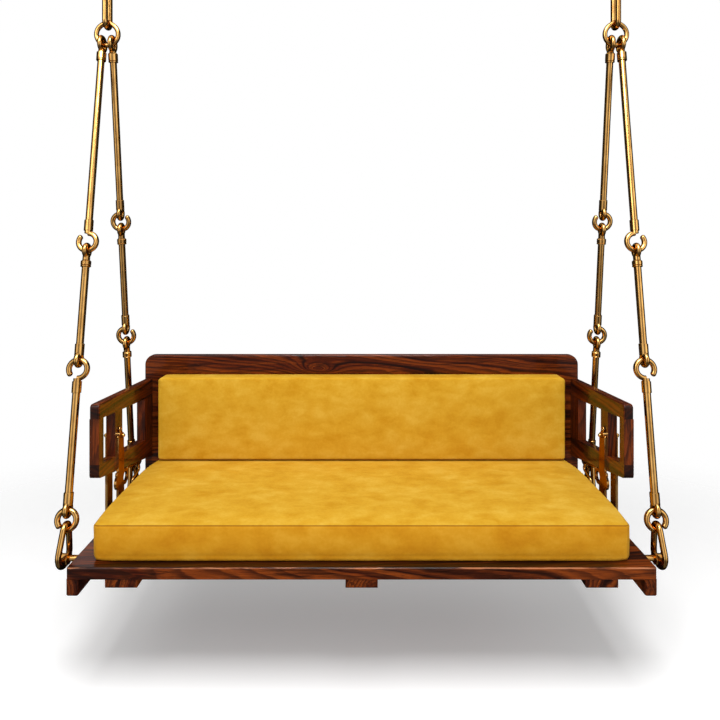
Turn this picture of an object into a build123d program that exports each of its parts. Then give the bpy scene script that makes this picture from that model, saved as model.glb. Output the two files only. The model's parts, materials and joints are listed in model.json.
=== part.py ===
from build123d import *
import os
from math import asin, atan2, cos, degrees, radians, sin, sqrt

# Hanging swing seat. Millimetres.
# The origin lies on the ceiling plane, midway between the two ceiling plates.
# +Z is up, X runs along the seat, and the front of the seat faces -Y.

# ---------------------------------------------------------------- overall
seat_drop = 1707            # ceiling plane to the top of the plank
hook_setback = 367.7        # plank's front edge back to the hanging plane
hanger_standoff = 46.5      # plank's end out to the ceiling plates and the pear links
contact_gap = 0.3           # running gap where one wire bears on another
hole_gap = 0.1              # radial gap round a screw, stud or bolt

# ---------------------------------------------------------------- seat frame
plank_width = 1500
plank_depth = 610
plank_thickness = 31
plank_corner = 9            # corner radius in plan
plank_edge = 5              # rounded top and bottom edges

rail_width = 31             # end rail, along X
rail_depth = 42             # end rail, below the plank
rail_inset = 0.5            # from the plank's front and back edges
rail_corner = 6
rail_edge = 4
batten_width = 82
batten_thickness = 22
batten_setback = 2          # from the plank's front and back edges
batten_inset = 140          # plank's end to the middle of an outer batten
batten_edge = 3

panel_inset = 18            # plank's back edge to the panel
panel_height = 437
panel_thickness = 25
panel_corner = 34
panel_edge = 6

# ---------------------------------------------------------------- armrests
arm_thickness = 27
arm_front = 136             # plank's front edge back to the arm's front end
arm_top_front = 378         # heights above the plank
arm_top_back = 355
arm_lintel_front = 337      # underside of the top rail
arm_lintel_back = 296
arm_sill_front = 211        # upper side of the bottom rail
arm_sill_back = 156
arm_foot_front = 174        # underside of the bottom rail
arm_foot_back = 90
arm_front_stile = 29.5      # stile widths, front to back
arm_front_window = 81
arm_centre_stile = 53.5
arm_rear_stile = 74
arm_corner = 11             # rounded front corners
arm_edge = 5

# ---------------------------------------------------------------- brass arm bracket
strap_width = 38            # at its shoulder
strap_foot = 46             # and on the plank
strap_thickness = 7
strap_top = 250             # height of the strap's shoulder above the plank
strap_offset = 9.5          # centre stile's front edge back to the strap
bolt_height = 250
bolt_radius = 4
bolt_ball = 6
nut_radius = 8
nut_thickness = 5
finial_radius = 6
finial_wire = 4
finial_ball = 3.4
scroll_height = 117         # middle of the side scrolls
scroll_radius = 24
scroll_hole = 15
bulge_radius = 21
curl_radius = 6
foot_length = 72
foot_reach = 20
foot_thickness = 5
brace_wire = 9
brace_foot = 392            # plank's front edge back to the brace's foot
brace_back = 455
brace_rise = 86
brace_end = 345
brace_ball = 6.5
brace_flange = 12

# ---------------------------------------------------------------- cushions
cushion_inset = 55          # plank's end to the seat cushion
cushion_thickness = 91
cushion_setback = 28
cushion_corner = 22
cushion_edge = 9
back_cushion_inset = 66     # panel's end to the back cushion
back_cushion_height = 280
back_cushion_thickness = 64
back_cushion_corner = 14

# ---------------------------------------------------------------- ceiling fittings
plate_width = 62
plate_length = 160
plate_thickness = 8
plate_corner = 20
bolt_spacing = 112
bolt_hole_radius = 5
countersink_radius = 8.5
ceiling_eye_radius = 26
ceiling_eye_wire = 16
ceiling_eye_drop = 45       # ceiling plane to the eye's centre
eye_neck_radius = 10
link_wire = 17
link_bend = 18              # bend radius at both ends of the ceiling link
link_pitch = 154            # wire centre to wire centre
top_ring_wire = 14.6
top_ring_bend = 16.2        # the top ring is narrow where it hangs
top_ring_belly = 34
top_ring_pitch = 72

# ---------------------------------------------------------------- rods and rings
eye_spread = 16             # each rod's eye sits this far beside the ring's middle
rod_radius = 10.4
top_eye_radius = 20.5
eye_wire = 15
joint_radius = 25.7         # hooks and open rings, to the wire's centre
joint_wire = 15.5
front_lower_pitch = 400     # stud ring's centre up to the hook that joins lower and middle rod
front_middle_pitch = 366
rear_lower_pitch = 443.5
rear_middle_pitch = 384.5
hook_gap = 44               # openings, in degrees
ring_gap = 30
stud_ring_gap = 26
rear_gap_at = 117           # where the open rings' gaps are, counterclockwise from outward
stud_gap_at = 296
tip_round = 0.4             # share of the wire by which a free end is rounded
neck_length = 8             # bare rod between an upper eye and its ferrule
ferrule_radius = 14.4       # the wide ferrules under the upper eyes
ferrule_top = 30            # length of the ferrule under a top eye
ferrule_upper = 20          # and under the other upper eyes
ferrule_chamfer = 3.4       # towards the eye
ferrule_lip = 1.2
ferrule_groove = 1.3
ferrule_band = 5            # length of the band behind the groove
sleeve_radius = 12.8        # the slim sleeves at the hooks and above the lower eyes
sleeve_length = 24
hook_sleeve_length = 32
sleeve_lip = 0.8

# ---------------------------------------------------------------- pear links and studs
front_pear_setback = 102    # plank's front edge back to the pear link's top
rear_pear_inset = 35        # and the rear link's top to the plank's back edge
pear_height = 65            # top wire's centre above the plank
pear_pitch = 106
pear_wire = 16
pear_top_bend = 16.5
pear_bottom_bend = 31
stud_radius = 8
stud_length = 75            # shank inside the plank
waist_radius = 12
waist_width = 18
collar_radius = 12.5        # against the plank's end
flange_radius = 17
flange_bevel = 1.4
facet_land = 0.6            # the eight facets' corners lie this far outside the flange
flange_thickness = 7
collar_thickness = 4
head_dome = 4

# ---------------------------------------------------------------- screws
screw_radius = 2.5
screw_head_radius = 5
screw_head_depth = 3
screw_bite = 18             # length in the far piece
panel_screw_bite = 45

# ---------------------------------------------------------------- derived places
clear_bore = stud_radius + hole_gap
front_y = -hook_setback
top_z = -seat_drop
under_z = top_z - plank_thickness
end_x = plank_width / 2
hanger_x = end_x + hanger_standoff
back_y = front_y + plank_depth
mid_y = front_y + plank_depth / 2
panel_y = back_y - panel_inset - panel_thickness
arm_y = front_y + arm_front
arm_inner_x = end_x - arm_thickness

swing_z = -(ceiling_eye_drop + ceiling_eye_radius)
link_top_z = swing_z + (ceiling_eye_wire + link_wire) / 2 + contact_gap
sway_z = link_top_z - link_pitch
ring_top_z = sway_z + (link_wire + top_ring_wire) / 2 + contact_gap
belly_z = ring_top_z - top_ring_pitch + top_ring_belly
eye_path = top_ring_belly - (top_ring_wire + eye_wire) / 2 - contact_gap
top_eye_z = belly_z - sqrt(eye_path**2 - eye_spread**2) - top_eye_radius
pear_z = top_z + pear_height

eye_radius = (joint_wire + eye_wire) / 2 + contact_gap
stud_ring_height = joint_radius - (joint_wire + pear_wire) / 2 - contact_gap
pear_reach = pear_pitch - waist_radius - pear_wire / 2 - contact_gap

sides = {"left": -1, "right": 1}
front = "front"
rear = "rear"
pear_y = {front: front_y + front_pear_setback, rear: back_y - rear_pear_inset}
lower_pitch = {front: front_lower_pitch, rear: rear_lower_pitch}
middle_pitch = {front: front_middle_pitch, rear: rear_middle_pitch}
spread = {front: eye_spread, rear: -eye_spread}

os.makedirs("parts", exist_ok=True)


def save(builder, name):
    """Name the finished piece and write it to its own file."""
    builder.part.label = name
    export_step(builder.part, f"parts/{name}.step")


# ---------------------------------------------------------------- wire work
def spoke(plane, angle):
    """Unit vector in the plane, turned counterclockwise from its x direction."""
    return plane.x_dir * cos(radians(angle)) + plane.y_dir * sin(radians(angle))


def bend(plane, radius, wire, start, sweep_angle):
    """Add a round wire bent about the plane's origin, counterclockwise from the start angle."""
    outward = spoke(plane, start)
    section = Plane(plane.origin + outward * radius, x_dir=outward, z_dir=spoke(plane, start + 90))
    with BuildSketch(section) as profile:
        Circle(wire / 2)
    revolve(profile.sketch, axis=Axis(plane.origin, plane.z_dir), revolution_arc=sweep_angle)


def round_tip(plane, radius, wire, angle):
    """Round off the free end of a bent wire."""
    tip = plane.origin + spoke(plane, angle) * radius
    end = faces().filter_by(GeomType.PLANE).sort_by_distance(tip)[0]
    fillet(end.edges(), wire * tip_round)


def bar(start, end, radius):
    """Add a round bar from one point to another."""
    along = Vector(*end) - Vector(*start)
    with BuildSketch(Plane(Vector(*start), z_dir=along)) as profile:
        Circle(radius)
    extrude(profile.sketch, amount=along.length)


def ball(point, radius):
    """Add a ball at a point."""
    with Locations(Location(tuple(point))):
        Sphere(radius)


def loop(plane, top_bend, bottom_bend, pitch, wire):
    """Add a closed link whose top wire passes the plane's origin and which hangs along -y."""
    centres = pitch - top_bend - bottom_bend
    slope = asin((bottom_bend - top_bend) / centres)
    turn = degrees(slope)
    top = (0, -top_bend)
    bottom = (0, -top_bend - centres)
    with BuildLine(plane) as path:
        CenterArc(top, top_bend, turn, 180 - 2 * turn)
        CenterArc(bottom, bottom_bend, 180 - turn, 180 + 2 * turn)
        for side in (-1, 1):
            x = side * cos(slope)
            y = sin(slope)
            Line(
                (x * bottom_bend, bottom[1] + y * bottom_bend),
                (x * top_bend, top[1] + y * top_bend),
            )
    outline = path.wire()
    with BuildSketch(Plane(outline @ 0, z_dir=outline % 0)) as profile:
        Circle(wire / 2)
    sweep(profile.sketch, path=outline)


def countersunk(face, shank, head, depth, length, mode):
    """Add or cut a countersunk screw whose head lies in the face plane and which runs along its z."""
    with BuildSketch(face) as rim:
        Circle(head)
    with BuildSketch(face.offset(depth)) as throat:
        Circle(shank)
    loft([rim.sketch, throat.sketch], mode=mode)
    with BuildSketch(face) as core:
        Circle(shank)
    extrude(core.sketch, amount=length, mode=mode)


# ---------------------------------------------------------------- ceiling fittings
for name, side in sides.items():
    x = side * hanger_x
    with BuildPart() as ceiling_plate:
        with BuildSketch(Plane.XY.offset(-plate_thickness)):
            with Locations((x, 0)):
                RectangleRounded(plate_width, plate_length, plate_corner)
        extrude(amount=plate_thickness)
        rim = ceiling_plate.faces().sort_by(Axis.Z)[0].edges()
        chamfer(rim, plate_thickness / 4)
        neck_top = (x, 0, -plate_thickness / 2)
        neck_bottom = (x, 0, -ceiling_eye_drop + ceiling_eye_radius)
        bar(neck_bottom, neck_top, eye_neck_radius)
        eye_plane = Plane((x, 0, -ceiling_eye_drop), x_dir=(1, 0, 0), z_dir=(0, -1, 0))
        bend(eye_plane, ceiling_eye_radius, ceiling_eye_wire, 0, 360)
        for y in (-bolt_spacing / 2, bolt_spacing / 2):
            countersunk(
                Plane((x, y, -plate_thickness)),
                bolt_hole_radius,
                countersink_radius,
                countersink_radius - bolt_hole_radius,
                plate_thickness,
                Mode.SUBTRACT,
            )
    save(ceiling_plate, f"ceiling_plate_{name}")

    with BuildPart() as ceiling_link:
        hang = Plane((x, 0, link_top_z), x_dir=(0, 1, 0), z_dir=(1, 0, 0))
        loop(hang, link_bend, link_bend, link_pitch, link_wire)
    save(ceiling_link, f"ceiling_link_{name}")

    with BuildPart() as top_ring:
        hang = Plane((x, 0, ring_top_z), x_dir=(1, 0, 0), z_dir=(0, -1, 0))
        loop(hang, top_ring_bend, top_ring_belly, top_ring_pitch, top_ring_wire)
    save(top_ring, f"top_ring_{name}")


# ---------------------------------------------------------------- rods
def chain_frame(side, place):
    """Frame of one chain: origin at the pear link's top, x outward, z up along the rods."""
    foot = Vector(side * hanger_x, pear_y[place], pear_z)
    head = Vector(side * (hanger_x + spread[place]), 0, top_eye_z)
    up = (head - foot).normalized()
    outward = Vector(side, 0, 0)
    level = (outward - up * outward.dot(up)).normalized()
    return Plane(foot, x_dir=level, z_dir=up), (head - foot).length


def ring_at(frame, height):
    """Plane of a ring or hook at this height on the chain: x outward, y up the chain."""
    station = frame.offset(height)
    return Plane(station.origin, x_dir=station.x_dir, z_dir=station.y_dir * -1)


def eye_at(frame, height):
    """Plane of an eye at this height on the chain, across the rings."""
    station = frame.offset(height)
    return Plane(station.origin, x_dir=station.z_dir, z_dir=station.x_dir)


def standoff(radius):
    """How far from an eye's centre its ferrule may start without touching the eye."""
    return sqrt((radius + eye_wire / 2) ** 2 - rod_radius**2) + contact_gap


hook_standoff = joint_radius + joint_wire / 2 + contact_gap
eye_standoff = standoff(eye_radius)
top_eye_standoff = standoff(top_eye_radius)


def rod_plan(place, length):
    """Each rod as (name, low end, its height, high end, its height)."""
    lower_joint = stud_ring_height + lower_pitch[place]
    upper_joint = lower_joint + middle_pitch[place]
    foot = stud_ring_height + joint_radius
    if place == front:
        return [
            ("lower", "eye", foot, "hook", lower_joint),
            ("middle", "eye", lower_joint + joint_radius, "eye", upper_joint - joint_radius),
            ("upper", "hook", upper_joint, "top eye", length),
        ]
    return [
        ("lower", "eye", foot, "eye", lower_joint - joint_radius),
        ("middle", "eye", lower_joint + joint_radius, "eye", upper_joint - joint_radius),
        ("upper", "eye", upper_joint + joint_radius, "top eye", length),
    ]


end_radius = {"eye": eye_radius, "top eye": top_eye_radius, "hook": joint_radius}
low_standoff = {"eye": eye_standoff, "hook": hook_standoff}
high_standoff = {"eye": eye_standoff + neck_length, "top eye": top_eye_standoff, "hook": hook_standoff}


def add_end(frame, kind, height, is_low):
    """Add one end of a rod: a closed eye, or an open hook whose gap faces outward."""
    if kind != "hook":
        bend(eye_at(frame, height), end_radius[kind], eye_wire, 0, 360)
        return
    plane = ring_at(frame, height)
    turn = 360 - hook_gap
    root = 90 if is_low else 270
    tip = root + turn if is_low else root - turn
    bend(plane, joint_radius, joint_wire, min(root, tip), turn)
    round_tip(plane, joint_radius, joint_wire, tip)


def ferrule(kind, is_low):
    """Half section of a ferrule or sleeve as (radius, along), from its end at the eye or hook."""
    bore = rod_radius + hole_gap
    if is_low or kind == "hook":
        length = hook_sleeve_length if kind == "hook" else sleeve_length
        return [
            (bore, 0),
            (sleeve_radius, 0),
            (sleeve_radius, length - sleeve_lip),
            (sleeve_radius - sleeve_lip, length),
            (bore, length),
        ]
    length = ferrule_top if kind == "top eye" else ferrule_upper
    band = length - ferrule_band
    return [
        (bore, 0),
        (ferrule_radius - ferrule_chamfer, 0),
        (ferrule_radius, ferrule_chamfer),
        (ferrule_radius, band - ferrule_groove),
        (ferrule_radius - ferrule_groove, band),
        (ferrule_radius, band + ferrule_groove),
        (ferrule_radius, length - ferrule_lip),
        (ferrule_radius - ferrule_lip, length),
        (bore, length),
    ]


for name, side in sides.items():
    plans = {}
    for place in (front, rear):
        frame, length = chain_frame(side, place)
        plans[place] = (frame, rod_plan(place, length))
        for title, low_kind, low, high_kind, high in plans[place][1]:
            with BuildPart() as rod:
                add_end(frame, low_kind, low, True)
                add_end(frame, high_kind, high, False)
                start = frame.offset(low + end_radius[low_kind]).origin
                end = frame.offset(high - end_radius[high_kind]).origin
                bar(start, end, rod_radius)
                if low_kind == "eye":
                    shank = frame.offset(low + eye_radius - eye_wire / 4).origin
                    bar(shank, frame.offset(low + eye_standoff).origin, sleeve_radius)
            save(rod, f"{place}_{title}_rod_{name}")

    with BuildPart() as ferrules:
        for frame, rods in plans.values():
            for title, low_kind, low, high_kind, high in rods:
                for start, way, section in (
                    (low + low_standoff[low_kind], 1, ferrule(low_kind, True)),
                    (high - high_standoff[high_kind], -1, ferrule(high_kind, False)),
                ):
                    with BuildSketch(ring_at(frame, start)):
                        with BuildLine():
                            Polyline(*[(across, way * along) for across, along in section], close=True)
                        make_face()
                    revolve(axis=Axis(frame.origin, frame.z_dir))
    save(ferrules, f"ferrules_{name}")

    with BuildPart() as joint_rings:
        frame, rods = plans[rear]
        for title, low_kind, low, high_kind, high in rods[1:]:
            plane = ring_at(frame, low - joint_radius)
            bend(plane, joint_radius, joint_wire, rear_gap_at + ring_gap / 2, 360 - ring_gap)
            for angle in (rear_gap_at - ring_gap / 2, rear_gap_at + ring_gap / 2):
                round_tip(plane, joint_radius, joint_wire, angle)
    save(joint_rings, f"rear_joint_rings_{name}")

    with BuildPart() as stud_rings:
        for frame, rods in plans.values():
            plane = ring_at(frame, stud_ring_height)
            start = stud_gap_at + stud_ring_gap / 2
            bend(plane, joint_radius, joint_wire, start, 360 - stud_ring_gap)
            for angle in (start, start - stud_ring_gap):
                round_tip(plane, joint_radius, joint_wire, angle)
    save(stud_rings, f"stud_rings_{name}")


# ---------------------------------------------------------------- pear links and studs
def pear_lean(place):
    """Lean of a pear link, so that it lies in line with its rods when seen from the side."""
    return atan2(-pear_y[place], top_eye_z - pear_z)


def stud_point(side, place):
    """Middle of the stud's waist, where the pear link bears."""
    lean = pear_lean(place)
    y = pear_y[place] - pear_reach * sin(lean)
    return Vector(side * hanger_x, y, pear_z - pear_reach * cos(lean))


def flange(radius, before, start, thickness, after):
    """Outline of a bevelled flange between two radii of the stud, as (radius, along)."""
    low = radius - flange_bevel
    end = start + thickness
    return [
        (before, start),
        (low, start),
        (radius, start + flange_bevel),
        (radius, end - flange_bevel),
        (low, end),
        (after, end),
    ]


dome_radius = (waist_radius**2 + head_dome**2) / (2 * head_dome)
dome_angle = degrees(asin(waist_radius / dome_radius))

for name, side in sides.items():
    for place in (front, rear):
        lean = pear_lean(place)
        with BuildPart() as pear_link:
            top = Vector(side * hanger_x, pear_y[place], pear_z)
            hang = Plane(top, x_dir=(0, cos(lean), -sin(lean)), z_dir=(1, 0, 0))
            loop(hang, pear_top_bend, pear_bottom_bend, pear_pitch, pear_wire)
        save(pear_link, f"{place}_pear_link_{name}")

    with BuildPart() as studs:
        for place in (front, rear):
            point = stud_point(side, place)
            root = Plane((side * end_x, point.Y, point.Z), x_dir=(0, 0, 1), z_dir=(side, 0, 0))
            first = hanger_x - end_x - waist_width / 2 - flange_thickness
            last = first + waist_width + flange_thickness
            end = last + flange_thickness
            with BuildSketch(Plane(root.origin, x_dir=root.x_dir, z_dir=root.y_dir * -1)) as turned:
                with BuildLine():
                    Polyline(
                        (0, end + head_dome),
                        (0, -stud_length),
                        (stud_radius, -stud_length),
                        *flange(collar_radius, stud_radius, 0, collar_thickness, stud_radius),
                        *flange(flange_radius, stud_radius, first, flange_thickness, waist_radius),
                        *flange(flange_radius, waist_radius, last, flange_thickness, waist_radius),
                    )
                    CenterArc((0, end + head_dome - dome_radius), dome_radius, 90, -dome_angle)
                make_face()
            revolve(turned.sketch, axis=Axis(root.origin, root.z_dir))
            with BuildSketch(root) as facets:
                Circle(flange_radius * 1.5)
                RegularPolygon(flange_radius + facet_land, 8, mode=Mode.SUBTRACT)
            extrude(facets.sketch, amount=end + head_dome, mode=Mode.SUBTRACT)
    save(studs, f"studs_{name}")


# ---------------------------------------------------------------- screws
batten_x = [batten_inset - end_x, 0, end_x - batten_inset]
rail_x = end_x - rail_width / 2
screw_rows = [front_y + plank_depth * share for share in (0.22, 0.5, 0.78)]
panel_mid_y = panel_y + panel_thickness / 2
panel_screw_x = [share * plank_width for share in (-0.35, -0.2, -0.07, 0.07, 0.2, 0.35)]
arm_mid_x = end_x - arm_thickness / 2


def screw_line():
    """Every wood screw as (head's face, direction in, length)."""
    lines = []
    for y in screw_rows:
        for x in batten_x:
            lines.append(((x, y, under_z - batten_thickness), (0, 0, 1), batten_thickness + screw_bite))
        for side in (-1, 1):
            lines.append(((side * rail_x, y, under_z - rail_depth), (0, 0, 1), rail_depth + screw_bite))
    return lines


def panel_screw_line():
    """Screws up through the plank into the panel, and through the panel into the arms."""
    lines = [
        ((x, panel_mid_y, under_z), (0, 0, 1), plank_thickness + panel_screw_bite)
        for x in panel_screw_x
    ]
    for side in (-1, 1):
        for low, high in ((arm_foot_back, arm_sill_back), (arm_lintel_back, arm_top_back)):
            point = (side * arm_mid_x, panel_y + panel_thickness, top_z + (low + high) / 2)
            lines.append((point, (0, -1, 0), panel_thickness + panel_screw_bite))
    return lines


def add_screws(lines, gap, mode):
    """Add or cut countersunk screws, each wider by a gap all round."""
    for point, way, length in lines:
        countersunk(
            Plane(point, z_dir=way),
            screw_radius + gap,
            screw_head_radius + gap,
            screw_head_depth,
            length + gap,
            mode,
        )


with BuildPart() as frame_screws:
    add_screws(screw_line(), 0, Mode.ADD)
save(frame_screws, "frame_screws")

with BuildPart() as panel_screws:
    add_screws(panel_screw_line(), 0, Mode.ADD)
save(panel_screws, "panel_screws")


def screws_near(lines, test):
    """The screws that pass a test on their head's point."""
    return [line for line in lines if test(line[0])]


# ---------------------------------------------------------------- seat frame
with BuildPart() as seat_plank:
    with BuildSketch(Plane.XY.offset(under_z)):
        with Locations((0, mid_y)):
            RectangleRounded(plank_width, plank_depth, plank_corner)
    extrude(amount=plank_thickness)
    top_edges = seat_plank.faces().sort_by(Axis.Z)[-1].edges()
    bottom_edges = seat_plank.faces().sort_by(Axis.Z)[0].edges()
    fillet(top_edges, plank_edge)
    fillet(bottom_edges, plank_edge / 2)
    for side in sides.values():
        for place in (front, rear):
            point = stud_point(side, place)
            with BuildSketch(Plane((side * end_x, point.Y, point.Z), z_dir=(-side, 0, 0))):
                Circle(clear_bore)
            extrude(amount=stud_length + hole_gap, mode=Mode.SUBTRACT)
    add_screws(screw_line(), hole_gap, Mode.SUBTRACT)
    add_screws(panel_screw_line()[: len(panel_screw_x)], hole_gap, Mode.SUBTRACT)
save(seat_plank, "seat_plank")

for name, side in sides.items():
    with BuildPart() as end_rail:
        with BuildSketch(Plane.XY.offset(under_z)):
            with Locations((side * rail_x, mid_y)):
                RectangleRounded(rail_width, plank_depth - 2 * rail_inset, rail_corner)
        extrude(amount=-rail_depth)
        lower = end_rail.faces().sort_by(Axis.Z)[0].edges()
        fillet(lower, rail_edge)
        mine = screws_near(screw_line(), lambda point: point[0] * side > end_x - rail_width)
        add_screws(mine, hole_gap, Mode.SUBTRACT)
    save(end_rail, f"end_rail_{name}")

for name, x in zip(("left", "middle", "right"), batten_x):
    with BuildPart() as batten:
        with BuildSketch(Plane.XY.offset(under_z)):
            with Locations((x, mid_y)):
                Rectangle(batten_width, plank_depth - 2 * batten_setback)
        extrude(amount=-batten_thickness)
        lower = batten.faces().sort_by(Axis.Z)[0].edges()
        fillet(lower, batten_edge)
        mine = screws_near(screw_line(), lambda point: abs(point[0] - x) < batten_width / 2)
        add_screws(mine, hole_gap, Mode.SUBTRACT)
    save(batten, f"batten_{name}")

with BuildPart() as back_panel:
    with BuildSketch(Plane.XZ.offset(-panel_y)):
        with Locations((0, top_z + panel_height / 2)):
            Rectangle(plank_width, panel_height)
        fillet(vertices().group_by(Axis.Z)[-1], panel_corner)
    extrude(amount=-panel_thickness)
    for face in back_panel.faces().filter_by(Axis.Y):
        rounded = face.outer_wire().edges().filter_by(lambda edge: edge.center().Z > top_z + 1)
        fillet(rounded, panel_edge)
    add_screws(panel_screw_line(), hole_gap, Mode.SUBTRACT)
save(back_panel, "back_panel")


# ---------------------------------------------------------------- armrests
arm_length = panel_y - arm_y


def arm_height(front_height, back_height, along):
    """Height of one of the arm's slanting edges at a distance from its front end."""
    return top_z + front_height + (back_height - front_height) * along / arm_length


def arm_piece(side, low, high, start, end):
    """Add one arm member, between two slanting edges and two distances from the front."""
    corners = [
        (arm_y + start, arm_height(*low, start)),
        (arm_y + end, arm_height(*low, end)),
        (arm_y + end, arm_height(*high, end)),
        (arm_y + start, arm_height(*high, start)),
    ]
    with BuildSketch(Plane.YZ.offset(min(side * end_x, side * arm_inner_x))) as outline:
        with BuildLine():
            Polyline(*corners, close=True)
        make_face()
    extrude(outline.sketch, amount=arm_thickness)


foot_edge = (arm_foot_front, arm_foot_back)
sill_edge = (arm_sill_front, arm_sill_back)
lintel_edge = (arm_lintel_front, arm_lintel_back)
top_edge = (arm_top_front, arm_top_back)
centre_start = arm_front_stile + arm_front_window
centre_end = centre_start + arm_centre_stile
rear_start = arm_length - arm_rear_stile
strap_y = arm_y + centre_start + strap_offset + strap_width / 2
bolt_z = top_z + bolt_height


def add_bolt_hole(side):
    """Cut the cross bolt's hole through whatever lies round it."""
    with BuildSketch(Plane((side * end_x * 2, strap_y, bolt_z), z_dir=(-side, 0, 0))) as hole:
        Circle(bolt_radius + hole_gap)
    extrude(hole.sketch, amount=end_x * 2, mode=Mode.SUBTRACT)


for name, side in sides.items():
    arm_screws = screws_near(
        panel_screw_line(),
        lambda point: abs(point[0] - side * arm_mid_x) < 1 and point[2] > top_z,
    )
    for title, low, high, corner_pick in (
        ("bottom", foot_edge, sill_edge, 0),
        ("top", lintel_edge, top_edge, -1),
    ):
        with BuildPart() as arm_rail:
            arm_piece(side, low, high, 0, arm_length)
            nose = arm_rail.edges().filter_by(Axis.X).group_by(Axis.Y)[0].sort_by(Axis.Z)[corner_pick]
            fillet(nose, arm_corner)
            for face in arm_rail.faces().filter_by(Axis.X):
                outer = face.edges().sort_by(Axis.Z)
                run = outer[0] if title == "bottom" else outer[-1]
                fillet(run, arm_edge)
            add_screws(arm_screws, hole_gap, Mode.SUBTRACT)
        save(arm_rail, f"arm_{title}_rail_{name}")

    for title, start, end in (
        ("front", 0, arm_front_stile),
        ("centre", centre_start, centre_end),
        ("rear", rear_start, arm_length),
    ):
        with BuildPart() as arm_stile:
            arm_piece(side, sill_edge, lintel_edge, start, end)
            if title == "centre":
                add_bolt_hole(side)
        save(arm_stile, f"arm_{title}_stile_{name}")


# ---------------------------------------------------------------- brass arm brackets
def strap_outline(bottom, foot_width):
    """Sketch the strap with its round shoulder, in the YZ plane, down to a height and a width."""
    shoulder = top_z + strap_top
    Polygon(
        (strap_y - foot_width / 2, bottom),
        (strap_y + foot_width / 2, bottom),
        (strap_y + strap_width / 2, shoulder),
        (strap_y - strap_width / 2, shoulder),
        align=None,
    )
    with Locations((strap_y, shoulder)):
        Circle(strap_width / 3)


def finial(x):
    """A small ring on top of the strap and a ball at each corner of its shoulder."""
    crown = top_z + strap_top + strap_width / 3 + finial_radius
    bend(Plane((x, strap_y, crown), x_dir=(0, 1, 0), z_dir=(1, 0, 0)), finial_radius, finial_wire, 0, 360)
    for way in (-1, 1):
        ball((x, strap_y + way * strap_width / 2, bolt_z), finial_ball)


def under_arm(setback):
    """Height of the brace's middle where it lies just under the arm."""
    return arm_height(*foot_edge, setback - arm_front) - brace_wire / 2 - contact_gap


for name, side in sides.items():
    inner_face = side * arm_inner_x
    outer_face = side * end_x
    with BuildPart() as bracket:
        with BuildSketch(Plane.YZ.offset(inner_face)):
            strap_outline(top_z, strap_foot)
            scroll_z = top_z + scroll_height
            bulge_y = strap_y - strap_width / 2
            scroll_y = strap_y + strap_width / 2 + scroll_radius / 2
            with Locations((bulge_y, scroll_z)):
                Circle(bulge_radius)
            with Locations((bulge_y - curl_radius, scroll_z + bulge_radius + curl_radius / 2)):
                Circle(curl_radius)
            with Locations((scroll_y, scroll_z)):
                Circle(scroll_radius)
            with Locations((scroll_y, scroll_z)):
                Circle(scroll_hole, mode=Mode.SUBTRACT)
            with Locations((strap_y, top_z + foot_thickness * 2)):
                Rectangle(foot_length, foot_thickness * 4)
        extrude(amount=-side * strap_thickness)
        with BuildSketch(Plane.XY.offset(top_z)):
            with Locations((inner_face - side * foot_reach / 2, strap_y)):
                RectangleRounded(foot_reach, foot_length, foot_thickness)
        extrude(amount=foot_thickness)
        finial(inner_face - side * strap_thickness / 2)
        add_bolt_hole(side)
    save(bracket, f"arm_bracket_{name}")

    with BuildPart() as outer_strap:
        with BuildSketch(Plane.YZ.offset(outer_face)):
            strap_outline(under_z + plank_edge, strap_width)
        extrude(amount=side * strap_thickness)
        finial(outer_face + side * strap_thickness / 2)
        add_bolt_hole(side)
    save(outer_strap, f"outer_strap_{name}")

    with BuildPart() as bracket_bolt:
        inside = inner_face - side * strap_thickness
        outside = outer_face + side * strap_thickness
        bar((inside, strap_y, bolt_z), (outside, strap_y, bolt_z), bolt_radius)
        for face, way in ((inside, -side), (outside, side)):
            with BuildSketch(Plane((face, strap_y, bolt_z), x_dir=(0, 0, 1), z_dir=(way, 0, 0))):
                RegularPolygon(nut_radius, 6)
            extrude(amount=nut_thickness)
            ball((face + way * nut_thickness, strap_y, bolt_z), bolt_ball)
    save(bracket_bolt, f"bracket_bolt_{name}")

    with BuildPart() as brace:
        brace_x = inner_face + side * brace_wire / 2
        route = [
            (brace_foot, top_z),
            (brace_foot + 2, top_z + brace_rise * 0.85),
            (brace_back, top_z + brace_rise),
            (brace_back - 16, under_arm(brace_back - 16)),
            (brace_end, under_arm(brace_end)),
        ]
        points = [(front_y + setback, height) for setback, height in route]
        with BuildLine(Plane.YZ.offset(brace_x)) as brace_path:
            FilletPolyline(*points, radius=8)
        with BuildSketch(Plane((brace_x, points[0][0], points[0][1]), z_dir=(0, 0, 1))):
            Circle(brace_wire / 2)
        sweep(path=brace_path.line)
        ball((brace_x, points[-1][0], points[-1][1] - brace_ball + brace_wire / 2), brace_ball)
        with BuildSketch(Plane.XY.offset(top_z)):
            with Locations((brace_x, points[0][0])):
                Circle(brace_flange)
        extrude(amount=foot_thickness)
    save(brace, f"scroll_brace_{name}")


# ---------------------------------------------------------------- cushions
cushion_width = plank_width - 2 * cushion_inset
cushion_depth = panel_y - front_y - cushion_setback - contact_gap
with BuildPart() as seat_cushion:
    with BuildSketch(Plane.XY.offset(top_z + contact_gap)):
        with Locations((0, front_y + cushion_setback + cushion_depth / 2)):
            RectangleRounded(cushion_width, cushion_depth, cushion_corner)
    extrude(amount=cushion_thickness)
    rims = seat_cushion.faces().filter_by(Plane.XY).edges()
    fillet(rims, cushion_edge)
save(seat_cushion, "seat_cushion")

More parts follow.
